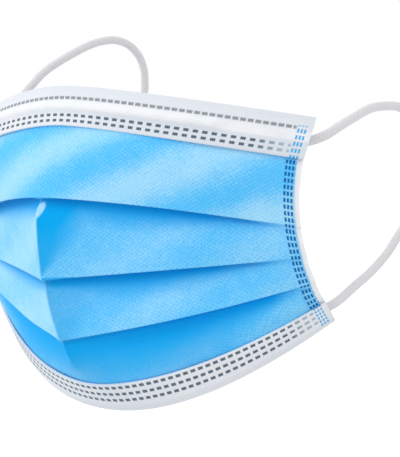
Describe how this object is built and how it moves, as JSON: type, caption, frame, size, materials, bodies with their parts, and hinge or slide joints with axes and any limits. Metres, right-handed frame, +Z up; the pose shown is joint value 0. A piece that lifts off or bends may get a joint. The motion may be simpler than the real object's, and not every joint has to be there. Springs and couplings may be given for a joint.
{
  "type": "three-ply face mask",
  "caption": "Pleated face mask of blue and white cloth, opened as it is worn, with white bindings, a nose wire in the top one and round elastic ear loops.",
  "frame": {"origin": "where the wearer's nose bridge bears: the middle of the inside of the top binding, behind the nose wire", "axes": "+Z up the face, +Y out of the back of the mask towards the wearer, +X towards the wearer's left"},
  "size_m": [0.1524, 0.1243, 0.1317],
  "materials": {
    "blue_cloth": "matt spunbond cloth, finely embossed",
    "white_cloth": "matt soft cloth",
    "white_band": "matt fibrous band, welded in rows of dashes",
    "white_elastic": "matt round knitted elastic",
    "coated_wire": "plastic-coated flat wire, hidden in the top binding"
  },
  "bodies": {
    "root": {"outer_ply": "blue_cloth", "inner_ply": "white_cloth", "top_binding": "white_band", "bottom_binding": "white_band", "nose_wire": "coated_wire", "ear_loop_left": "white_elastic", "ear_loop_right": "white_elastic"}
  },
  "joints": []
}
